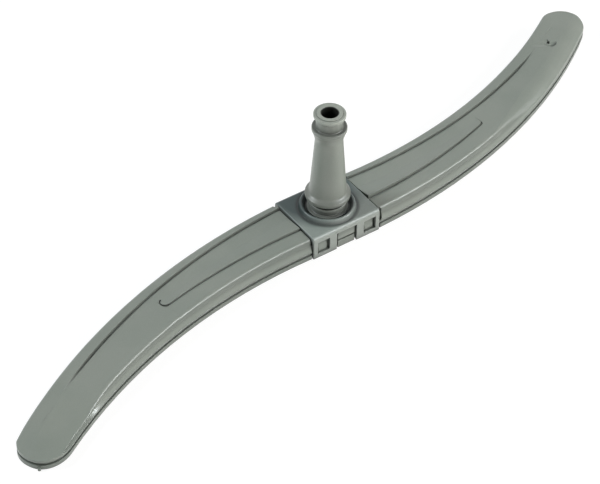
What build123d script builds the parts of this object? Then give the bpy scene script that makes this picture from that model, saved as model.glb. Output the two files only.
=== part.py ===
"""Dishwasher spray arm: a hollow S-shaped arm of two shells that spins on a captive feed tube.

Millimetres, +Z up. The origin is on the spin axis, at the plane the arm lies on. +X runs along the
hub collar; the +X half of the arm bends towards +Y and the -X half is the same plan turned half a turn.
Across the arm, "back" is the side the +Y end of a section lies on and "front" is the opposite one.
Distances along the arm are measured on its centreline from the spin axis.
"""

import os
from math import cos, degrees, radians, sin, sqrt

from build123d import *

os.makedirs("parts", exist_ok=True)

# Plan of the arm, one half
HUB_STRAIGHT = 22.9
BEND_RADIUS = 340.0
BEND_LENGTH = 197.0
HALF_WIDTH_HUB = 18.4
HALF_WIDTH_TIP = 13.3
TIP_DEPTH = 17.3
TIP_SHOULDER = 8.0
TIP_NARROWING = 0.5
BEND_END = HUB_STRAIGHT + BEND_LENGTH
ARM_END = BEND_END + TIP_DEPTH

# Heights of the arm; the top falls at the very tips
LOWER_HEIGHT = 3.1
SEAM_GAP = 1.9
LIP_HEIGHT = 0.6
TOP_AT_HUB = 13.4
LEFT_TOP_AT_TIP = 10.6
RIGHT_TOP_AT_TIP = 11.6
LEFT_TIP_FALL = 4.2
RIGHT_TIP_FALL = 1.0
TIP_FALL_START = BEND_END - 2.0
SEAM_TOP = LOWER_HEIGHT + SEAM_GAP
LIP_TOP = SEAM_TOP + LIP_HEIGHT

# Walls of the two shells: the upper one flares out to its lip below the knee of each side wall
WALL = 1.8
FLOOR = 1.8
LIP_LEDGE = 0.15
FRONT_INSET = 1.6
BACK_INSET = 0.6
KNEE_SHARE = 0.5
KNEE_RADIUS = 0.9
KNEE_RADIUS_SHARE = 0.15
EDGE_RADIUS = 1.8
EDGE_RADIUS_SHARE = 0.35
SEAM_DEPTH = 1.2
BOTTOM_RADIUS = 0.8
CHANNEL_INSET = 2.6
CHANNEL_BREAK = 0.8
CHANNEL_HEADROOM = 0.3
CHANNEL_TIP_DROP = 1.8

# Raised rim along the back of the top, with a groove at its foot, fading out before the tips
STEP = 0.4
STEP_RUN = 0.3
GROOVE_DEPTH = 0.6
GROOVE_WIDTH = 0.9
FADED_STEP = 0.02
RIM_RISE = 0.7
RIM_WIDTH_AT_HUB = 4.7
RIM_WIDTH_AT_TIP = 8.4
RIM_FADE_START = ARM_END - 66.0
RIM_FADE_END = ARM_END - 47.0

# Raised pads beside the hub: wedges whose front line, with a groove, is measured from the front edge
PAD_END = 116.5
PAD_SHELF_AT_HUB = 11.6
PAD_SHELF_AT_END = 13.4
PAD_SWEEP = 1.5
LEFT_PAD_STEP = 1.0
RIGHT_PAD_STEP = 2.0
PAD_STEP_AT_END = 0.45
PAD_WIDTH_AT_HUB = 11.0
PAD_WIDTH_AT_END = 3.5
PAD_CORNER = 2.5

# The groove of the -X pad runs on around its end, leaning towards the hub
RETURN_LENGTH = 2.9
RETURN_LEAN = 2.2

# Front edge near the tips: it falls on the -X half and leans inwards on the +X half
LEFT_FRONT_FALL = 4.2
LEFT_FALL_START = ARM_END - 65.0
LEFT_FALL_END = ARM_END - 27.0
RIGHT_FRONT_LEAN = 4.6
RIGHT_LEAN_START = 108.0
RIGHT_LEAN_END = 166.0
LEAN_KNEE_INSET = 0.5
LEAN_KNEE_SHARE = 0.35
LEAN_EDGE_RADIUS = 12.0

# Hub neck that the collar clips over, with a round relief in the outer corner of each arm half beside it
# and the catch of the feed tube above it
NECK_INSET = 1.8
RELIEF_RADIUS = 1.5
NECK_HEIGHT = 3.7
INLET_RADIUS = 8.0
CATCH_HEIGHT = 1.9
AXIAL_PLAY = 0.3
NECK_HALF_WIDTH = HALF_WIDTH_HUB - NECK_INSET
NECK_TOP = SEAM_TOP + NECK_HEIGHT
CATCH_BOTTOM = NECK_TOP + AXIAL_PLAY
CATCH_TOP = CATCH_BOTTOM + CATCH_HEIGHT

# Feed tube, bearing ring and their fits, radii
BORE_RADIUS = 4.7
SPIGOT_WALL = 3.5
RUNNING_FIT = 0.06
PRESS_FIT = 0.02
BEARING_WALL = 1.24
BEARING_FLANGE_WIDTH = 1.9
THRUST_WIDTH = 1.0
CATCH_OVERLAP = 1.7
FOOT_WALL = 5.5
SKIRT_WIDTH = 2.3
SKIRT_TAPER = 2.0
GROOVE_WALL = 2.7
TOP_FLANGE_WIDTH = 1.4
LOW_FLANGE_WIDTH = 2.2
CONE_TOP_WALL = 2.9
MOUTH_WALL = 2.35
SPIGOT_RADIUS = BORE_RADIUS + SPIGOT_WALL
BEARING_BORE = SPIGOT_RADIUS + RUNNING_FIT
BEARING_RADIUS = BEARING_BORE + BEARING_WALL
BEARING_FLANGE_RADIUS = BEARING_RADIUS + BEARING_FLANGE_WIDTH
THRUST_RADIUS = BEARING_RADIUS + THRUST_WIDTH
CATCH_RADIUS = BEARING_RADIUS + CATCH_OVERLAP
CONE_FOOT_RADIUS = BORE_RADIUS + FOOT_WALL
SKIRT_RADIUS = CONE_FOOT_RADIUS + SKIRT_WIDTH
GROOVE_RADIUS = BORE_RADIUS + GROOVE_WALL
TOP_FLANGE_RADIUS = GROOVE_RADIUS + TOP_FLANGE_WIDTH
LOW_FLANGE_RADIUS = GROOVE_RADIUS + LOW_FLANGE_WIDTH
CONE_TOP_RADIUS = BORE_RADIUS + CONE_TOP_WALL
MOUTH_RADIUS = BORE_RADIUS + MOUTH_WALL

# Hub collar
COLLAR_GAP = 0.3
COLLAR_END_GAP = 0.9
COLLAR_CLEARANCE = 0.4
COLLAR_WALL = 1.8
COLLAR_ROOF = 3.2
COLLAR_EDGE_RADIUS = 2.4
COLLAR_END_RADIUS = 0.5
WELL_CLEARANCE = 0.6
WELL_FLOOR_WALL = 3.0
BEAD_WIDTH = 4.1
BEAD_HEIGHT = 2.7
BEAD_SLOPE = 1.0
BEAD_DISH = 1.9
BEAD_INNER_ROUNDING = 0.8
BEAD_OUTER_ROUNDING = 0.9
COLLAR_HALF_LENGTH = HUB_STRAIGHT - COLLAR_END_GAP
COLLAR_INNER = NECK_HALF_WIDTH + COLLAR_CLEARANCE
COLLAR_HALF_WIDTH = COLLAR_INNER + COLLAR_WALL
COLLAR_UNDERSIDE = CATCH_TOP + AXIAL_PLAY
COLLAR_TOP = COLLAR_UNDERSIDE + COLLAR_ROOF
WELL_RADIUS = BEARING_FLANGE_RADIUS + WELL_CLEARANCE
WELL_FLOOR = COLLAR_UNDERSIDE + WELL_FLOOR_WALL
BEAD_RADIUS = WELL_RADIUS + BEAD_WIDTH
BEAD_TOP = COLLAR_TOP + BEAD_HEIGHT

# Windows and centre notch in the sides of the collar
WINDOW_LENGTH = 8.0
WINDOW_END_WALL = 2.7
WINDOW_DROP = 2.3
WINDOW_LINTEL = 0.5
NOTCH_LENGTH = 13.2
WINDOW_CENTRE = COLLAR_HALF_LENGTH - WINDOW_END_WALL - WINDOW_LENGTH / 2.0
WINDOW_SILL = SEAM_TOP - WINDOW_DROP
WINDOW_TOP = COLLAR_UNDERSIDE - WINDOW_LINTEL

# Hooks and keys on the neck, seen in those openings
HOOK_SIDE_GAP = 1.2
HOOK_THICKNESS = 1.6
HOOK_LAND = 2.4
HOOK_DROP = 1.8
HOOK_RECESS = 1.2
KEY_SIDE_GAP = 1.1
KEY_RECESS = 0.7
KEY_SPLIT = 1.6
KEY_SEAM = 1.0
HOOK_LENGTH = WINDOW_LENGTH - 2 * HOOK_SIDE_GAP
HOOK_ROOT = NECK_HALF_WIDTH - HOOK_THICKNESS
HOOK_FOOT = WINDOW_SILL + COLLAR_GAP
HOOK_TOP = COLLAR_UNDERSIDE - HOOK_DROP
KEY_LENGTH = NOTCH_LENGTH - 2 * KEY_SIDE_GAP
HOOK_FACE = COLLAR_HALF_WIDTH - HOOK_RECESS
KEY_FACE = COLLAR_HALF_WIDTH - KEY_RECESS
LOWER_KEY_TOP = LOWER_HEIGHT + KEY_SPLIT
UPPER_KEY_BOTTOM = LOWER_KEY_TOP + KEY_SEAM
KEY_TOP = COLLAR_UNDERSIDE - COLLAR_GAP

# Bearing ring and feed tube: heights, and roundings of their corners
BEARING_FLANGE = 0.9
BEARING_RISE = 5.8
THRUST_HEIGHT = 1.7
THRUST_ROUNDING = 0.3
SKIRT_CLEARANCE = 1.2
SKIRT_HEIGHT = 3.8
SKIRT_TAPER_HEIGHT = 2.0
SKIRT_RISE = 1.6
TUBE_TOP = 80.4
MOUTH_HEIGHT = 0.5
TOP_FLANGE_HEIGHT = 2.9
TOP_FLANGE_SLOPE = 1.3
TOP_FLANGE_ROUNDING = 0.3
MOUTH_ROUNDING = 0.2
GROOVE_HEIGHT = 5.8
LOW_FLANGE_HEIGHT = 2.0
LOW_FLANGE_FLARE = 1.0
CONE_DROP = 8.4
FOOT_SWEEP = 2.0
CONE_SWEEP = 8.0
FLARE_SWEEP = 1.0
FLARE_WIDTH = 0.5
TUBE_ROUNDING = 0.5
BEARING_TOP = WELL_FLOOR + BEARING_RISE
SKIRT_BOTTOM = BEARING_TOP + SKIRT_CLEARANCE
SKIRT_TOP = SKIRT_BOTTOM + SKIRT_HEIGHT
TOP_FLANGE_TOP = TUBE_TOP - MOUTH_HEIGHT
GROOVE_TOP = TOP_FLANGE_TOP - TOP_FLANGE_HEIGHT
GROOVE_BOTTOM = GROOVE_TOP - GROOVE_HEIGHT
LOW_FLANGE_BOTTOM = GROOVE_BOTTOM - LOW_FLANGE_HEIGHT
CONE_TOP = GROOVE_BOTTOM - CONE_DROP

# Spray jets in the underside
JET_START = 58.0
JET_PITCH = 38.0
JET_END_MARGIN = 40.0
JET_OFFSET = 3.0
JET_RADIUS = 1.4
JET_MOUTH_RADIUS = 2.6

# Drive jet on top of the +X half: a pocket whose floor rises towards the tip, and a shallow spillway
# that rises towards the back. Depths are in the middle of the pocket, and turns from the back to the hub
DRIVE_FROM_END = 33.8
DRIVE_OFFSET = 0.2
POCKET_RADIUS = 3.8
POCKET_DEPTH = 0.55
POCKET_SLOPE = 24.0
POCKET_TURN = -60.0
SPILLWAY_RADIUS = 7.0
SPILLWAY_DEPTH = 0.9
SPILLWAY_SLOPE = 4.7
SPILLWAY_LENGTH = 15.0
SPILLWAY_TURN = 43.0
DRIVE_HOLE_RADIUS = 0.9
DRIVE_HOLE_OFFSET = 1.0
DRIVE_STATION = ARM_END - DRIVE_FROM_END

# Moulding gate left at the tip of the -X half
GATE_RADIUS = 0.9
GATE_HEIGHT = 1.7
GATE_OFFSET = -3.4

# Overlap of pieces that are joined, and overrun of cuts
OVERLAP = 0.5
OVERRUN = 1.0


def ease(value, start, end):
    """Smooth rise from 0 at start to 1 at end."""
    t = min(max((value - start) / (end - start), 0.0), 1.0)
    return t * t * (3.0 - 2.0 * t)


def along_bend(s, at_hub, at_tip):
    """Value that runs evenly from at_hub to at_tip along the bend and stays level beyond it."""
    share = min(max((s - HUB_STRAIGHT) / BEND_LENGTH, 0.0), 1.0)
    return at_hub + (at_tip - at_hub) * share


def spread(start, end, spans):
    """Evenly spaced stations from start to end."""
    return [start + (end - start) * number / spans for number in range(spans + 1)]


def centre(s):
    """Centreline point and heading of the +X half."""
    if s <= HUB_STRAIGHT:
        return s, 0.0, 0.0
    if s > BEND_END:
        x, y, heading = centre(BEND_END)
        return x + (s - BEND_END) * cos(heading), y + (s - BEND_END) * sin(heading), heading
    heading = (s - HUB_STRAIGHT) / BEND_RADIUS
    return HUB_STRAIGHT + BEND_RADIUS * sin(heading), BEND_RADIUS * (1.0 - cos(heading)), heading


def half_width(s):
    return along_bend(s, HALF_WIDTH_HUB, HALF_WIDTH_TIP)


def plan_point(s, offset, side):
    """Point of the plan on one half; offset is towards the back of the arm."""
    x, y, heading = centre(s)
    return side * x - offset * sin(heading), side * y + offset * cos(heading)


def section_plane(s, side):
    """Plane across the arm: local x towards the back, local y up."""
    x, y, heading = centre(s)
    return Plane(
        origin=(side * x, side * y, 0),
        x_dir=(-sin(heading), cos(heading), 0),
        z_dir=(cos(heading), sin(heading), 0),
    )


def level_height(s, side):
    """Height of the top face before it falls at the tip."""
    return along_bend(s, TOP_AT_HUB, RIGHT_TOP_AT_TIP if side > 0 else LEFT_TOP_AT_TIP)


def top_height(s, side):
    """Height of the back edge of the top face."""
    tip_fall = RIGHT_TIP_FALL if side > 0 else LEFT_TIP_FALL
    return level_height(s, side) - tip_fall * ease(s, TIP_FALL_START, ARM_END + OVERRUN)


def front_edge(s, side):
    """How far the front wall leans, from 0 to 1, and the height of its top edge."""
    top = top_height(s, side)
    if side < 0:
        fallen = level_height(s, side) - LEFT_FRONT_FALL * ease(s, LEFT_FALL_START, LEFT_FALL_END)
        return 0.0, min(top, fallen)
    return ease(s, RIGHT_LEAN_START, RIGHT_LEAN_END), top


def pad_profile(s, side):
    """Offset of the front line of the raised pad, its height there and its width."""
    share = (s - HUB_STRAIGHT) / (PAD_END - HUB_STRAIGHT)
    shelf = PAD_SHELF_AT_HUB + (PAD_SHELF_AT_END - PAD_SHELF_AT_HUB) * share**PAD_SWEEP
    into_corner = min(max((s - PAD_END) / PAD_CORNER + 1.0, 0.0), 1.0)
    shelf += PAD_CORNER * (1.0 - sqrt(1.0 - into_corner**2))
    step_at_hub = RIGHT_PAD_STEP if side > 0 else LEFT_PAD_STEP
    step = step_at_hub + (PAD_STEP_AT_END - step_at_hub) * share
    width = PAD_WIDTH_AT_HUB + (PAD_WIDTH_AT_END - PAD_WIDTH_AT_HUB) * share
    return shelf - half_width(s), step, width


def upper_section(s, side, with_pad):
    """Corners and corner radii of the upper shell across the arm, its lip left over-wide for trimming."""
    edge = half_width(s)
    wide = edge + OVERRUN
    top = top_height(s, side)
    lean, front = front_edge(s, side)
    height = front - LIP_TOP
    knee_inset = FRONT_INSET + (LEAN_KNEE_INSET - FRONT_INSET) * lean
    knee_share = KNEE_SHARE + (LEAN_KNEE_SHARE - KNEE_SHARE) * lean
    front_corner = (FRONT_INSET + RIGHT_FRONT_LEAN * lean - edge, front)
    rim = edge - along_bend(s, RIM_WIDTH_AT_HUB, RIM_WIDTH_AT_TIP)
    shown = 1.0 - ease(s, RIM_FADE_START, RIM_FADE_END)
    rim_foot = (rim - STEP_RUN - GROOVE_WIDTH, top - STEP * shown - FADED_STEP)
    corners = [
        (-wide, SEAM_TOP),
        (-wide, LIP_TOP),
        (LIP_LEDGE - edge, LIP_TOP),
        (knee_inset - edge, LIP_TOP + knee_share * height),
        front_corner,
    ]
    knee_radius = min(KNEE_RADIUS, KNEE_RADIUS_SHARE * height)
    edge_radius = min(EDGE_RADIUS, EDGE_RADIUS_SHARE * height)
    edge_radius += (LEAN_EDGE_RADIUS - edge_radius) * lean
    radii = [0.0, 0.0, 0.0, knee_radius, edge_radius]
    if with_pad:
        pad, step, width = pad_profile(s, side)
        slope = (rim_foot[1] - front) / (rim_foot[0] - front_corner[0])
        foot = front + slope * (pad - front_corner[0])
        corners += [
            (pad - GROOVE_WIDTH, foot - slope * GROOVE_WIDTH),
            (pad, foot - GROOVE_DEPTH),
            (pad + STEP_RUN, foot + step),
            (pad + width, foot + slope * width),
        ]
        radii += [0.0] * 4
    back_height = top - LIP_TOP
    corners += [
        rim_foot,
        (rim - STEP_RUN, rim_foot[1] - GROOVE_DEPTH * shown - FADED_STEP),
        (rim, top + RIM_RISE * shown),
        (edge - BACK_INSET, top),
        (edge - BACK_INSET, LIP_TOP + KNEE_SHARE * back_height),
        (edge - LIP_LEDGE, LIP_TOP),
        (wide, LIP_TOP),
        (wide, SEAM_TOP),
    ]
    radii += [0.0, 0.0, 0.0, min(EDGE_RADIUS, EDGE_RADIUS_SHARE * back_height), 0.0, 0.0, 0.0, 0.0]
    return corners, radii


def channel_section(s, side):
    """Corners and corner radii of the water channel inside the upper shell."""
    narrowing = (HALF_WIDTH_TIP / 2.0) * ease(s, BEND_END - TIP_DEPTH, ARM_END)
    inner = half_width(s) - CHANNEL_INSET - narrowing
    lean, front = front_edge(s, side)
    drop = STEP + WALL + CHANNEL_TIP_DROP * ease(s, RIM_FADE_START, RIM_FADE_END)
    roof = max(top_height(s, side) - drop, SEAM_TOP + CHANNEL_HEADROOM)
    front_roof = max(front - drop, SEAM_TOP + CHANNEL_HEADROOM)
    floor = SEAM_TOP - OVERLAP
    corners = [
        (-inner, floor),
        (-inner, SEAM_TOP),
        (RIGHT_FRONT_LEAN * lean - inner + CHANNEL_BREAK, front_roof),
        (inner - CHANNEL_BREAK, roof),
        (inner, SEAM_TOP),
        (inner, floor),
    ]
    return corners, [0.0] * len(corners)


def section_faces(stations, side, outline, *options):
    """Faces across the arm at the given stations, ready to be lofted."""
    faces = []
    for s in stations:
        corners, radii = outline(s, side, *options)
        with BuildSketch(section_plane(s, side)) as section:
            with BuildLine():
                FilletPolyline(*corners, radius=radii, close=True)
            make_face()
        faces.append(section.sketch.face())
    return faces


def tip_point(along, inward, side):
    """Point of the plan beyond the end of the bend; inward is towards the inside of the bend."""
    x, y, heading = centre(BEND_END + along)
    return side * (x - inward * sin(heading)), side * (y + inward * cos(heading))


def plan_face(inset):
    """Plan of the whole arm, drawn in by inset."""
    stations = (HUB_STRAIGHT, (HUB_STRAIGHT + BEND_END) / 2.0, BEND_END)
    turn = degrees(centre(BEND_END)[2])
    tip_width = HALF_WIDTH_TIP - inset
    shoulder_width = tip_width - TIP_NARROWING
    with BuildSketch() as plan:
        for side in (1, -1):
            rotation = turn if side > 0 else turn + 180.0
            with BuildLine():
                for back in (-1, 1):
                    edge = [plan_point(s, back * (half_width(s) - inset), side) for s in stations]
                    Line((0, back * (HALF_WIDTH_HUB - inset)), edge[0])
                    ThreePointArc(*edge)
                Line(tip_point(0.0, -tip_width, side), tip_point(TIP_SHOULDER, -shoulder_width, side))
                EllipticalCenterArc(
                    tip_point(TIP_SHOULDER, 0.0, side),
                    TIP_DEPTH - TIP_SHOULDER - inset,
                    shoulder_width,
                    start_angle=-90,
                    arc_size=90,
                    rotation=rotation,
                )
                EllipticalCenterArc(
                    tip_point(0.0, 0.0, side),
                    TIP_DEPTH - inset,
                    tip_width,
                    start_angle=0,
                    arc_size=90,
                    rotation=rotation,
                )
                Line((0, inset - HALF_WIDTH_HUB), (0, HALF_WIDTH_HUB - inset))
            make_face()
    return plan.sketch


def drive_plane(height, turn, slope):
    """Plane in the middle of the drive jet at a height over the top face, rising along its local x."""
    turn = centre(DRIVE_STATION)[2] + radians(90.0 + turn)
    slope = radians(slope)
    return Plane(
        origin=(*plan_point(DRIVE_STATION, DRIVE_OFFSET, 1), top_height(DRIVE_STATION, 1) + height),
        x_dir=(cos(slope) * cos(turn), cos(slope) * sin(turn), sin(slope)),
        z_dir=(-sin(slope) * cos(turn), -sin(slope) * sin(turn), cos(slope)),
    )


def turned_face(*corners):
    """Half section of a turned shape from its corners, each a radius, a height and a rounding."""
    points = [(radius, height) for radius, height, rounding in corners]
    roundings = [rounding for radius, height, rounding in corners]
    with BuildSketch(Plane.XZ) as half:
        with BuildLine():
            FilletPolyline(*points, radius=roundings, close=True)
        make_face()
    return half.sketch


PAD_STATIONS = spread(HUB_STRAIGHT, PAD_END - PAD_CORNER, 4)
PAD_CORNER_STATIONS = spread(PAD_END - PAD_CORNER, PAD_END, 6)
OUTER_STATIONS = spread(PAD_END, TIP_FALL_START, 8)
TIP_STATIONS = spread(TIP_FALL_START, ARM_END + OVERRUN, 6)
CHANNEL_STATIONS = spread(HUB_STRAIGHT + WALL, ARM_END - TIP_DEPTH / 2.0, 16)
BASE = (Align.CENTER, Align.CENTER, Align.MIN)

# Upper shell
with BuildPart() as arm_upper_shell:
    for side in (1, -1):
        loft(section_faces(PAD_STATIONS, side, upper_section, True))
        loft(section_faces(PAD_CORNER_STATIONS, side, upper_section, True), ruled=True)
        loft(section_faces(OUTER_STATIONS, side, upper_section, False))
        loft(section_faces(TIP_STATIONS, side, upper_section, False))
    with Locations((0, 0, SEAM_TOP)):
        Box(2 * (HUB_STRAIGHT + OVERLAP), 2 * NECK_HALF_WIDTH, NECK_HEIGHT, align=BASE)
    extrude(plan_face(0.0), amount=2 * TOP_AT_HUB, mode=Mode.INTERSECT)
    for side in (1, -1):
        loft(section_faces(CHANNEL_STATIONS, side, channel_section), ruled=True, mode=Mode.SUBTRACT)
    with Locations((0, 0, SEAM_TOP - OVERRUN)):
        Box(
            2 * (HUB_STRAIGHT + 2 * WALL),
            2 * (NECK_HALF_WIDTH - WALL),
            NECK_HEIGHT - WALL + OVERRUN,
            align=BASE,
            mode=Mode.SUBTRACT,
        )
        Cylinder(INLET_RADIUS, NECK_HEIGHT + 2 * OVERRUN, align=BASE, mode=Mode.SUBTRACT)
    for front in (1, -1):
        for x in (-WINDOW_CENTRE, WINDOW_CENTRE):
            with BuildSketch(Plane.YZ.offset(x)) as hook:
                with BuildLine():
                    Polyline(
                        (front * HOOK_ROOT, NECK_TOP - OVERLAP),
                        (front * HOOK_ROOT, HOOK_TOP),
                        (front * NECK_HALF_WIDTH, HOOK_TOP),
                        (front * HOOK_FACE, HOOK_FOOT + HOOK_LAND),
                        (front * HOOK_FACE, HOOK_FOOT),
                        (front * (NECK_HALF_WIDTH + COLLAR_GAP), HOOK_FOOT),
                        (front * (NECK_HALF_WIDTH + COLLAR_GAP), SEAM_TOP),
                        (front * (NECK_HALF_WIDTH - OVERLAP), SEAM_TOP),
                        (front * (NECK_HALF_WIDTH - OVERLAP), NECK_TOP - OVERLAP),
                        close=True,
                    )
                make_face()
            extrude(amount=HOOK_LENGTH / 2.0, both=True)
        with Locations((0, front * (HOOK_ROOT + KEY_FACE) / 2.0, UPPER_KEY_BOTTOM)):
            Box(KEY_LENGTH, KEY_FACE - HOOK_ROOT, KEY_TOP - UPPER_KEY_BOTTOM, align=BASE)
    relief_row = HALF_WIDTH_HUB - FRONT_INSET
    for side in (1, -1):
        with Locations((side * HUB_STRAIGHT, -side * relief_row, SEAM_TOP - OVERRUN)):
            Cylinder(RELIEF_RADIUS, 2 * TOP_AT_HUB, align=BASE, mode=Mode.SUBTRACT)
    return_start = plan_point(PAD_END - PAD_CORNER, pad_profile(PAD_END - PAD_CORNER, -1)[0], -1)
    return_turn = plan_point(PAD_END, pad_profile(PAD_END, -1)[0], -1)
    return_end = plan_point(PAD_END - RETURN_LEAN, pad_profile(PAD_END, -1)[0] + RETURN_LENGTH, -1)
    with BuildSketch(Plane.XY.offset(top_height(PAD_END, -1) - STEP - GROOVE_DEPTH)) as pad_return:
        SlotArc(Edge.make_three_point_arc(return_start, return_turn, return_end), GROOVE_WIDTH)
    extrude(amount=TOP_AT_HUB, mode=Mode.SUBTRACT)
    with BuildSketch(drive_plane(-POCKET_DEPTH, POCKET_TURN, POCKET_SLOPE)):
        Circle(POCKET_RADIUS)
    extrude(amount=2 * POCKET_RADIUS, mode=Mode.SUBTRACT)
    spillway = drive_plane(SPILLWAY_RADIUS - SPILLWAY_DEPTH, SPILLWAY_TURN, SPILLWAY_SLOPE)
    with BuildSketch(Plane(spillway.origin, x_dir=spillway.y_dir, z_dir=spillway.x_dir)):
        Circle(SPILLWAY_RADIUS)
    extrude(amount=SPILLWAY_LENGTH, mode=Mode.SUBTRACT)
    drive_hole = plan_point(DRIVE_STATION, DRIVE_OFFSET + DRIVE_HOLE_OFFSET, 1)
    with Locations((*drive_hole, SEAM_TOP - OVERRUN)):
        Cylinder(DRIVE_HOLE_RADIUS, TOP_AT_HUB, align=BASE, mode=Mode.SUBTRACT)
arm_upper_shell.part.label = "arm_upper_shell"
export_step(arm_upper_shell.part, "parts/arm_upper_shell.step")

# Lower shell
with BuildPart() as arm_lower_shell:
    extrude(plan_face(0.0), amount=LOWER_HEIGHT)
    fillet(arm_lower_shell.edges().group_by(Axis.Z)[0], BOTTOM_RADIUS)
    extrude(plan_face(SEAM_DEPTH), amount=SEAM_TOP)
    with Locations((0, 0, FLOOR)):
        add(extrude(plan_face(SEAM_DEPTH + WALL), amount=SEAM_TOP, mode=Mode.PRIVATE), mode=Mode.SUBTRACT)
    for front in (1, -1):
        with Locations((0, front * (NECK_HALF_WIDTH - WALL / 2.0), 0)):
            Box(2 * (HUB_STRAIGHT + WALL), WALL, SEAM_TOP, align=BASE)
        with Locations((0, front * (NECK_HALF_WIDTH + HALF_WIDTH_HUB / 2.0), -OVERRUN)):
            Box(2 * HUB_STRAIGHT, HALF_WIDTH_HUB, SEAM_TOP + 2 * OVERRUN, align=BASE, mode=Mode.SUBTRACT)
        with Locations((0, front * (HOOK_ROOT + KEY_FACE) / 2.0, 0)):
            Box(KEY_LENGTH, KEY_FACE - HOOK_ROOT, LOWER_KEY_TOP, align=BASE)
    jet_count = int((BEND_END - JET_END_MARGIN - JET_START) / JET_PITCH) + 1
    for side in (1, -1):
        for number in range(jet_count):
            offset = JET_OFFSET if number % 2 else -JET_OFFSET
            with Locations((*plan_point(JET_START + number * JET_PITCH, offset, side), 0)):
                Cylinder(JET_RADIUS, 3 * FLOOR, mode=Mode.SUBTRACT)
                Cone(JET_MOUTH_RADIUS, JET_RADIUS, FLOOR / 2.0, align=BASE, mode=Mode.SUBTRACT)
    with Locations((*plan_point(ARM_END, GATE_OFFSET, -1), (LOWER_HEIGHT - GATE_HEIGHT) / 2.0)):
        Cylinder(GATE_RADIUS, GATE_HEIGHT, align=BASE)
arm_lower_shell.part.label = "arm_lower_shell"
export_step(arm_lower_shell.part, "parts/arm_lower_shell.step")

# Hub collar
with BuildPart() as hub_collar:
    Box(2 * COLLAR_HALF_LENGTH, 2 * COLLAR_HALF_WIDTH, COLLAR_TOP, align=BASE)
    fillet(hub_collar.edges().filter_by(Axis.X).group_by(Axis.Z)[-1], COLLAR_EDGE_RADIUS)
    end_edges = hub_collar.faces().filter_by(Axis.X).edges().filter_by(lambda edge: edge.center().Z > 0)
    fillet(end_edges, COLLAR_END_RADIUS)
    with Locations((0, 0, -OVERRUN)):
        Box(
            2 * (COLLAR_HALF_LENGTH + OVERRUN),
            2 * COLLAR_INNER,
            COLLAR_UNDERSIDE + OVERRUN,
            align=BASE,
            mode=Mode.SUBTRACT,
        )
        Box(
            NOTCH_LENGTH,
            2 * (COLLAR_HALF_WIDTH + OVERRUN),
            COLLAR_UNDERSIDE + OVERRUN,
            align=BASE,
            mode=Mode.SUBTRACT,
        )
    with Locations((-WINDOW_CENTRE, 0, WINDOW_SILL), (WINDOW_CENTRE, 0, WINDOW_SILL)):
        Box(
            WINDOW_LENGTH,
            2 * (COLLAR_HALF_WIDTH + OVERRUN),
            WINDOW_TOP - WINDOW_SILL,
            align=BASE,
            mode=Mode.SUBTRACT,
        )
    bead = turned_face(
        (WELL_RADIUS, COLLAR_TOP - OVERLAP, 0.0),
        (WELL_RADIUS + BEAD_DISH, BEAD_TOP, BEAD_INNER_ROUNDING),
        (BEAD_RADIUS - BEAD_SLOPE, BEAD_TOP, BEAD_OUTER_ROUNDING),
        (BEAD_RADIUS, COLLAR_TOP, 0.0),
        (BEAD_RADIUS, COLLAR_TOP - OVERLAP, 0.0),
    )
    revolve(bead, axis=Axis.Z)
    with Locations((0, 0, WELL_FLOOR)):
        Cylinder(WELL_RADIUS, BEAD_TOP, align=BASE, mode=Mode.SUBTRACT)
    Cylinder(BEARING_RADIUS + PRESS_FIT, 3 * COLLAR_TOP, mode=Mode.SUBTRACT)
hub_collar.part.label = "hub_collar"
export_step(hub_collar.part, "parts/hub_collar.step")

# Bearing ring pressed into the collar
with BuildPart() as bearing_ring:
    ring = turned_face(
        (BEARING_BORE, COLLAR_UNDERSIDE, 0.0),
        (BEARING_RADIUS, COLLAR_UNDERSIDE, 0.0),
        (BEARING_RADIUS, WELL_FLOOR, 0.0),
        (BEARING_FLANGE_RADIUS, WELL_FLOOR, 0.0),
        (BEARING_FLANGE_RADIUS, WELL_FLOOR + BEARING_FLANGE, THRUST_ROUNDING),
        (BEARING_RADIUS, WELL_FLOOR + BEARING_FLANGE, THRUST_ROUNDING),
        (BEARING_RADIUS, BEARING_TOP - THRUST_HEIGHT, THRUST_ROUNDING),
        (THRUST_RADIUS, BEARING_TOP - THRUST_HEIGHT, THRUST_ROUNDING),
        (THRUST_RADIUS, BEARING_TOP, THRUST_ROUNDING),
        (BEARING_BORE, BEARING_TOP, 0.0),
    )
    revolve(ring, axis=Axis.Z)
bearing_ring.part.label = "bearing_ring"
export_step(bearing_ring.part, "parts/bearing_ring.step")

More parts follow.
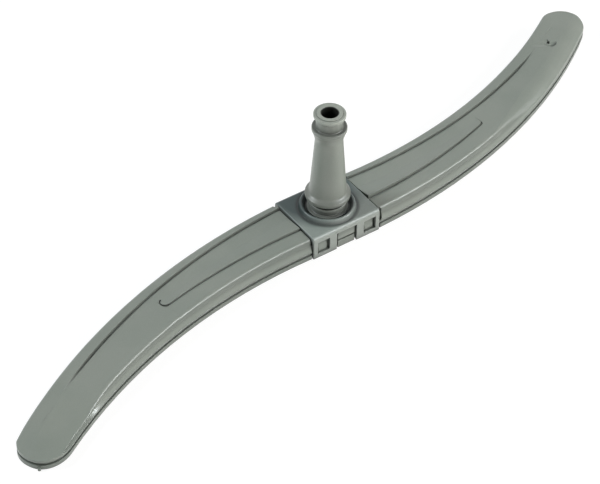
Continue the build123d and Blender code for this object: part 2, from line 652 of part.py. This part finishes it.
# Feed tube
with BuildPart() as feed_tube:
    tube = turned_face(
        (BORE_RADIUS, CATCH_BOTTOM, 0.0),
        (CATCH_RADIUS, CATCH_BOTTOM, 0.0),
        (CATCH_RADIUS, CATCH_TOP, 0.0),
        (SPIGOT_RADIUS, CATCH_TOP, 0.0),
        (SPIGOT_RADIUS, SKIRT_BOTTOM, 0.0),
        (SKIRT_RADIUS - SKIRT_TAPER, SKIRT_BOTTOM, TUBE_ROUNDING),
        (SKIRT_RADIUS, SKIRT_BOTTOM + SKIRT_TAPER_HEIGHT, TUBE_ROUNDING),
        (SKIRT_RADIUS, SKIRT_TOP, TUBE_ROUNDING),
        (CONE_FOOT_RADIUS, SKIRT_TOP + SKIRT_RISE, FOOT_SWEEP),
        (CONE_TOP_RADIUS, CONE_TOP, CONE_SWEEP),
        (LOW_FLANGE_RADIUS - FLARE_WIDTH, LOW_FLANGE_BOTTOM - LOW_FLANGE_FLARE, FLARE_SWEEP),
        (LOW_FLANGE_RADIUS, LOW_FLANGE_BOTTOM, FLARE_SWEEP),
        (LOW_FLANGE_RADIUS, GROOVE_BOTTOM, TUBE_ROUNDING),
        (GROOVE_RADIUS, GROOVE_BOTTOM, TUBE_ROUNDING),
        (GROOVE_RADIUS, GROOVE_TOP, TUBE_ROUNDING),
        (TOP_FLANGE_RADIUS, GROOVE_TOP + TOP_FLANGE_SLOPE, TOP_FLANGE_ROUNDING),
        (TOP_FLANGE_RADIUS, TOP_FLANGE_TOP, TOP_FLANGE_ROUNDING),
        (MOUTH_RADIUS, TOP_FLANGE_TOP, 0.0),
        (MOUTH_RADIUS, TUBE_TOP, MOUTH_ROUNDING),
        (BORE_RADIUS, TUBE_TOP, TUBE_ROUNDING),
    )
    revolve(tube, axis=Axis.Z)
feed_tube.part.label = "feed_tube"
export_step(feed_tube.part, "parts/feed_tube.step")
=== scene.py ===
"""Looks of the dishwasher spray arm: satin grey-green plastic, pale studio, the photograph's view."""

from math import radians

import bpy
from mathutils import Matrix, Quaternion, Vector


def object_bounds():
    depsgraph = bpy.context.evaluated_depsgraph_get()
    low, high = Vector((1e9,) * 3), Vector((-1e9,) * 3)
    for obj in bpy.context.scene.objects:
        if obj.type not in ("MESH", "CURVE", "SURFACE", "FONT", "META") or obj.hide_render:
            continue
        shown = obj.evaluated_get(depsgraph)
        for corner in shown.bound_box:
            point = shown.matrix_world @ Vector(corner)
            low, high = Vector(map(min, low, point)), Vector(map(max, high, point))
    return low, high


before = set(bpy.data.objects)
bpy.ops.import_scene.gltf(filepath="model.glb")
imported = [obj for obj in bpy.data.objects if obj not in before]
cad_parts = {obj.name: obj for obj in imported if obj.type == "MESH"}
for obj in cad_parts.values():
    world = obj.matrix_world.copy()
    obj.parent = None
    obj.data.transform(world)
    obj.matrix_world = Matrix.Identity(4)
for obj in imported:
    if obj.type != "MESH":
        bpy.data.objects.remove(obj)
cad_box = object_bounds()

# A millimetre in metres, the whole range of a factor, a point on the spin axis and plain white
MM = 0.001
UNIT = (0.0, 1.0)
AXIS = (0.0, 0.0, 0.0)
WHITE = (1.0, 1.0, 1.0)

# Camera at the photograph's view: position in metres, angles in degrees, lens in millimetres
CAMERA_POSITION = (-0.5784, -0.7867, 0.8913)
CAMERA_AZIMUTH = -35.47
CAMERA_ELEVATION = 42.81
CAMERA_ROLL = 1.0
CAMERA_LENS = 144.2
SENSOR_WIDTH = 36.0

# Floor and world: lengths in metres, the floor's colour and glow, the share of real light and shade that
# is seen on it, and the strength of the world's light
FLOOR_HALF = 6.0
FLOOR_GAP = 0.2 * MM
FLOOR_WHITE = (0.93, 0.93, 0.93)
FLOOR_ROUGHNESS = 0.9
FLOOR_GLOW = 1.12
SHADOW_SHARE = 0.22
AMBIENT = 0.25

# Lamps: places and sizes in metres, turns in degrees. The strip lamp lights the front without a
# highlight, and the edge lamp only gives the highlight along the front edges.
WARM = (1.0, 0.98, 0.94)
COOL = (0.93, 0.98, 1.0)
STRIP_TURN = -26.0
LAMPS = {
    "strip_lamp": {
        "at": (1.35, -0.9, 0.81),
        "size": (1.6, 0.3),
        "turn": STRIP_TURN,
        "watts": 22.0,
        "tint": WARM,
        "reflected": False,
    },
    "front_lamp": {"at": (0.3, -1.6, 0.4), "size": (1.0, 1.0), "watts": 11.0, "tint": WARM},
    "side_lamp": {"at": (-1.7, 1.18, 1.57), "size": (0.65, 0.65), "watts": 41.0, "tint": COOL},
    "edge_lamp": {
        "at": (1.11, -1.0, 1.06),
        "size": (1.1, 0.3),
        "turn": STRIP_TURN,
        "watts": 35.0,
        "tint": COOL,
        "diffuse": False,
    },
}

# Plastics: tint of the body and of its light mottling, linear colours
ARM_TINT = (0.200, 0.228, 0.201)
ARM_MOTTLE = (0.226, 0.250, 0.222)
COLLAR_TINT = (0.244, 0.274, 0.250)
COLLAR_MOTTLE = (0.273, 0.298, 0.275)
TUBE_TINT = (0.278, 0.308, 0.270)
TUBE_MOTTLE = (0.315, 0.338, 0.300)
RING_TINT = (0.200, 0.222, 0.200)
RING_MOTTLE = (0.225, 0.242, 0.220)

# Surface of the plastics: scales are in features per metre, each range is the part of a noise that is used
PLASTIC_IOR = 1.49
ROUGHNESS = 0.34
RING_ROUGHNESS = 0.35
ROUGHNESS_SPREAD = 0.05
ROUGHNESS_SCALE = 120.0
ROUGHNESS_DETAIL = 3.0
ROUGHNESS_RANGE = (0.3, 0.7)
CLOUD_SCALE = 28.0
CLOUD_DETAIL = 4.0
CLOUD_RANGE = (0.35, 0.65)
GRAIN_SCALE = 2600.0
GRAIN_DETAIL = 2.0
GRAIN_ROUGHNESS = 0.6
GRAIN_RANGE = (0.3, 0.7)
GRAIN_TONES = (0.94, 1.05)
GRAIN_BUMP = 0.08
GRAIN_DEPTH = 0.05 * MM
EDGE_SOFTENING = 0.35 * MM
EDGE_SAMPLES = 6

# Painted shade in creases and hollows: how far it looks for other faces, the darkest tone that it gives and
# the range of openness that it spans
CREASE_REACH = 1.6 * MM
CREASE_DARKEST = 0.7
HOLLOW_REACH = 6.0 * MM
LOWER_REACH = 12.0 * MM
TUBE_REACH = 12.0 * MM
HOLLOW_DARKEST = 0.45
ARM_DARKEST = 0.58
OPEN_RANGE = (0.25, 0.95)
HOLLOW_SAMPLES = 8

# Tube: painted light and shade as tones at heights in millimetres, painted shade on the skirt and in the
# groove and painted lighter at the end, then the radii between which the painted shade of the dark bore ends
# and the tone inside it
TUBE_PAINTED_LIGHT_AND_SHADE = {
    25.0: 0.48,
    27.5: 0.62,
    36.0: 0.72,
    66.0: 0.76,
    70.3: 0.64,
    71.6: 0.44,
    76.4: 0.74,
    77.6: 1.0,
}
BORE_SHADE_EDGE = (4.8 * MM, 5.1 * MM)
BORE_PAINTED_SHADE = 0.1

# Top of the collar: painted shade as tones at radii in millimetres, dark round the foot of the bead, then
# the painted shade behind the tube with its centre and the distances from it over which it ends, and the
# heights where the top begins
BEAD_PAINTED_SHADE = {12.0: 0.8, 15.3: 0.9, 16.0: 0.42, 17.0: 0.42, 18.2: 1.0}
COLLAR_SHADE = (0.18, 0.25, 0.27)
COLLAR_LIGHT = (0.92, 0.96, 0.98)
SHADE_CENTRE = (0.0, 14.0 * MM, 0.0)
SHADE_EDGE = (20.0 * MM, 30.0 * MM)
COLLAR_SHOULDER = (12.5 * MM, 14.2 * MM)

# Sides of the arm: painted shade as tones at heights in millimetres, darker above the knee, and the upright
# part of the normal between a side and a top
SIDE_PAINTED_SHADE = {7.2: 1.0, 9.0: 0.74, 12.0: 0.74, 14.0: 0.85}
SIDE_TO_TOP = (0.5, 0.8)


def add_node(tree, kind, values=None, **settings):
    """New shader node with its settings and the values of its input sockets."""
    node = tree.nodes.new(kind)
    for name, value in settings.items():
        setattr(node, name, value)
    for socket, value in (values or {}).items():
        node.inputs[socket].default_value = value
    return node


def noise(tree, places, scale, detail, roughness=0.5):
    """Noise in object space; scale is in features per metre."""
    node = add_node(tree, "ShaderNodeTexNoise", {"Scale": scale, "Detail": detail, "Roughness": roughness})
    tree.links.new(places, node.inputs["Vector"])
    return node.outputs["Fac"]


def remap(tree, value, source, target):
    """Value moved from one range to another and clamped there."""
    node = add_node(
        tree,
        "ShaderNodeMapRange",
        {"From Min": source[0], "From Max": source[1], "To Min": target[0], "To Max": target[1]},
    )
    tree.links.new(value, node.inputs["Value"])
    return node.outputs["Result"]


def mix_colour(tree, share, first, second, blend="MIX"):
    """Mix of two colours; each is a colour or a socket, and the share is a number or a socket."""
    node = add_node(tree, "ShaderNodeMix", data_type="RGBA", blend_type=blend)
    # The colour sockets share their names with those for other kinds of value, so they go by place
    factor, colour_a, colour_b = node.inputs[0], node.inputs[6], node.inputs[7]
    for socket, value in ((factor, share), (colour_a, first), (colour_b, second)):
        if isinstance(value, bpy.types.NodeSocket):
            tree.links.new(value, socket)
        elif isinstance(value, float):
            socket.default_value = value
        else:
            socket.default_value = (*value, 1.0)
    return node.outputs[2]


def multiply(tree, first, second):
    """Product of two colours or sockets."""
    return mix_colour(tree, 1.0, first, second, "MULTIPLY")


def painted_hollow_shade(tree, reach, darkest):
    """Factor of painted shade that darkens places with something else within reach."""
    node = add_node(tree, "ShaderNodeAmbientOcclusion", {"Distance": reach}, samples=HOLLOW_SAMPLES)
    return remap(tree, node.outputs["AO"], OPEN_RANGE, (darkest, 1.0))


def plan_radius(tree, places, middle):
    """Distance in plan from a middle point."""
    moved = add_node(tree, "ShaderNodeVectorMath", {1: middle}, operation="SUBTRACT")
    tree.links.new(places, moved.inputs[0])
    flat = add_node(tree, "ShaderNodeVectorMath", {1: (1.0, 1.0, 0.0)}, operation="MULTIPLY")
    tree.links.new(moved.outputs["Vector"], flat.inputs[0])
    radius = add_node(tree, "ShaderNodeVectorMath", operation="LENGTH")
    tree.links.new(flat.outputs["Vector"], radius.inputs[0])
    return radius.outputs["Value"]


def upright(tree, vector):
    """Height of a place, or the upright part of a direction."""
    split = add_node(tree, "ShaderNodeSeparateXYZ")
    tree.links.new(vector, split.inputs["Vector"])
    return split.outputs["Z"]


def graded(tree, distance, tones):
    """Factor that follows tones given at distances in millimetres."""
    nearest, farthest = min(tones), max(tones)
    share = remap(tree, distance, (nearest * MM, farthest * MM), UNIT)
    node = add_node(tree, "ShaderNodeValToRGB")
    tree.links.new(share, node.inputs["Fac"])
    stops = node.color_ramp.elements
    for at, tone in tones.items():
        if at == nearest:
            stop = stops[0]
        elif at == farthest:
            stop = stops[-1]
        else:
            stop = stops.new((at - nearest) / (farthest - nearest))
        stop.color = (tone, tone, tone, 1.0)
    return node.outputs["Color"]


def arm_side_painted_shade(tree, places):
    """Factor of painted shade that darkens the upper part of the arm's sides."""
    normal = add_node(tree, "ShaderNodeTexCoord").outputs["Normal"]
    side = remap(tree, upright(tree, normal), SIDE_TO_TOP, (1.0, 0.0))
    return mix_colour(tree, side, WHITE, graded(tree, upright(tree, places), SIDE_PAINTED_SHADE))


def tube_painted_light_and_shade(tree, places):
    """Factor of painted shade that darkens the bore of the tube and follows the painted light and shade of
    the tones along it.
    """
    bore = remap(tree, plan_radius(tree, places, AXIS), BORE_SHADE_EDGE, (BORE_PAINTED_SHADE, 1.0))
    return multiply(tree, bore, graded(tree, upright(tree, places), TUBE_PAINTED_LIGHT_AND_SHADE))


def collar_painted_shade(tree, places):
    """Factor of painted shade that darkens the top of the collar behind the tube and round the bead."""
    share = remap(tree, plan_radius(tree, places, SHADE_CENTRE), SHADE_EDGE, UNIT)
    behind = mix_colour(tree, share, COLLAR_SHADE, COLLAR_LIGHT)
    bead = graded(tree, plan_radius(tree, places, AXIS), BEAD_PAINTED_SHADE)
    on_top = remap(tree, upright(tree, places), COLLAR_SHOULDER, UNIT)
    return mix_colour(tree, on_top, WHITE, multiply(tree, behind, bead))


def plastic(name, tint, mottle, reach=HOLLOW_REACH, darkest=HOLLOW_DARKEST, tone=None, roughness=ROUGHNESS):
    """Satin moulded plastic: mottled colour, fine grain, softened edges, painted shade in creases and
    hollows and, if given, the part's painted light and shade.
    """
    material = bpy.data.materials.new(name)
    material.use_nodes = True
    tree = material.node_tree
    shader = tree.nodes["Principled BSDF"]
    places = add_node(tree, "ShaderNodeTexCoord").outputs["Object"]

    cloud = remap(tree, noise(tree, places, CLOUD_SCALE, CLOUD_DETAIL), CLOUD_RANGE, UNIT)
    grain = noise(tree, places, GRAIN_SCALE, GRAIN_DETAIL, GRAIN_ROUGHNESS)
    # Grain tones, then painted shade in creases and in hollows
    shades = [
        remap(tree, grain, GRAIN_RANGE, GRAIN_TONES),
        painted_hollow_shade(tree, CREASE_REACH, CREASE_DARKEST),
        painted_hollow_shade(tree, reach, darkest),
    ]
    # Painted light and shade of the part, if given
    if tone:
        shades.append(tone(tree, places))
    colour = mix_colour(tree, cloud, tint, mottle)
    for shade in shades:
        colour = multiply(tree, colour, shade)
    tree.links.new(colour, shader.inputs["Base Color"])

    patches = noise(tree, places, ROUGHNESS_SCALE, ROUGHNESS_DETAIL)
    spread = (roughness - ROUGHNESS_SPREAD, roughness + ROUGHNESS_SPREAD)
    tree.links.new(remap(tree, patches, ROUGHNESS_RANGE, spread), shader.inputs["Roughness"])

    edge = add_node(tree, "ShaderNodeBevel", {"Radius": EDGE_SOFTENING}, samples=EDGE_SAMPLES)
    bump = add_node(tree, "ShaderNodeBump", {"Strength": GRAIN_BUMP, "Distance": GRAIN_DEPTH})
    tree.links.new(grain, bump.inputs["Height"])
    tree.links.new(edge.outputs["Normal"], bump.inputs["Normal"])
    tree.links.new(bump.outputs["Normal"], shader.inputs["Normal"])
    shader.inputs["IOR"].default_value = PLASTIC_IOR
    return material


def dress(node, material):
    """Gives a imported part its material."""
    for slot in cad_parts[node].material_slots:
        slot.material = material


def seen_rays(tree):
    """One for camera, glossy and transmitted rays, zero for the light that falls on the object."""
    path = add_node(tree, "ShaderNodeLightPath")
    first = add_node(tree, "ShaderNodeMath", operation="MAXIMUM")
    tree.links.new(path.outputs["Is Camera Ray"], first.inputs[0])
    tree.links.new(path.outputs["Is Glossy Ray"], first.inputs[1])
    second = add_node(tree, "ShaderNodeMath", operation="MAXIMUM")
    tree.links.new(first.outputs[0], second.inputs[0])
    tree.links.new(path.outputs["Is Transmission Ray"], second.inputs[1])
    return second.outputs[0]


def floor_white():
    """White for the camera and for reflections, with part of the light and shade that falls on it."""
    material = bpy.data.materials.new("floor_white")
    material.use_nodes = True
    tree = material.node_tree
    shader = tree.nodes["Principled BSDF"]
    shader.inputs["Base Color"].default_value = (*FLOOR_WHITE, 1.0)
    shader.inputs["Roughness"].default_value = FLOOR_ROUGHNESS
    shader.inputs["Specular IOR Level"].default_value = 0.0
    glow = add_node(tree, "ShaderNodeEmission", {"Color": (*WHITE, 1.0), "Strength": FLOOR_GLOW})
    share = add_node(tree, "ShaderNodeMath", {1: 1.0 - SHADOW_SHARE}, operation="MULTIPLY")
    tree.links.new(seen_rays(tree), share.inputs[0])
    mix = add_node(tree, "ShaderNodeMixShader")
    tree.links.new(share.outputs[0], mix.inputs["Fac"])
    tree.links.new(shader.outputs["BSDF"], mix.inputs[1])
    tree.links.new(glow.outputs["Emission"], mix.inputs[2])
    tree.links.new(mix.outputs["Shader"], tree.nodes["Material Output"].inputs["Surface"])
    return material


def add_floor():
    """Pale floor that the arm lies on."""
    mesh = bpy.data.meshes.new("floor")
    corners = [(x * FLOOR_HALF, y * FLOOR_HALF, 0.0) for x, y in ((-1, -1), (1, -1), (1, 1), (-1, 1))]
    mesh.from_pydata(corners, [], [(0, 1, 2, 3)])
    mesh.materials.append(floor_white())
    floor = bpy.data.objects.new("floor", mesh)
    floor.location.z = cad_box[0].z - FLOOR_GAP
    bpy.context.scene.collection.objects.link(floor)


def add_world():
    """White for the camera and for reflections, plain ambient light for everything else."""
    world = bpy.data.worlds.new("studio")
    bpy.context.scene.world = world
    world.use_nodes = True
    tree = world.node_tree
    background = tree.nodes["Background"]
    background.inputs["Color"].default_value = (*WHITE, 1.0)
    strength = remap(tree, seen_rays(tree), UNIT, (AMBIENT, 1.0))
    tree.links.new(strength, background.inputs["Strength"])


def add_lamp(name, at, size, watts, tint, turn=0.0, diffuse=True, reflected=True):
    """Soft rectangular lamp aimed at the hub and turned about its own axis."""
    data = bpy.data.lights.new(name, "AREA")
    data.shape = "RECTANGLE"
    data.size, data.size_y = size
    data.energy = watts
    data.color = tint
    lamp = bpy.data.objects.new(name, data)
    lamp.location = at
    lamp.rotation_mode = "QUATERNION"
    aim = (-Vector(at)).to_track_quat("-Z", "Y")
    lamp.rotation_quaternion = aim @ Quaternion((0.0, 0.0, 1.0), radians(turn))
    lamp.visible_diffuse = diffuse
    lamp.visible_glossy = reflected
    bpy.context.scene.collection.objects.link(lamp)


def add_camera():
    """Camera at the photograph's viewing angle."""
    data = bpy.data.cameras.new("camera")
    data.sensor_width = SENSOR_WIDTH
    data.lens = CAMERA_LENS
    camera = bpy.data.objects.new("camera", data)
    turn = Matrix.Rotation(radians(CAMERA_AZIMUTH), 4, "Z")
    tilt = Matrix.Rotation(radians(90.0 - CAMERA_ELEVATION), 4, "X")
    roll = Matrix.Rotation(radians(CAMERA_ROLL), 4, "Z")
    camera.matrix_world = Matrix.Translation(CAMERA_POSITION) @ turn @ tilt @ roll
    bpy.context.scene.collection.objects.link(camera)
    bpy.context.scene.camera = camera


dress("arm_upper_shell", plastic("arm_plastic", ARM_TINT, ARM_MOTTLE, HOLLOW_REACH, ARM_DARKEST, arm_side_painted_shade))
# The lower shell's copy of the arm's plastic has a longer reach of painted shade, so it is painted darker
# near the floor
dress("arm_lower_shell", plastic("arm_plastic_low", ARM_TINT, ARM_MOTTLE, LOWER_REACH, ARM_DARKEST))
dress("hub_collar", plastic("collar_plastic", COLLAR_TINT, COLLAR_MOTTLE, tone=collar_painted_shade))
dress("feed_tube", plastic("tube_plastic", TUBE_TINT, TUBE_MOTTLE, TUBE_REACH, tone=tube_painted_light_and_shade))
dress("bearing_ring", plastic("bearing_plastic", RING_TINT, RING_MOTTLE, roughness=RING_ROUGHNESS))

add_floor()
add_world()
for lamp_name, lamp in LAMPS.items():
    add_lamp(lamp_name, **lamp)
add_camera()
bpy.context.scene.view_settings.view_transform = "Standard"
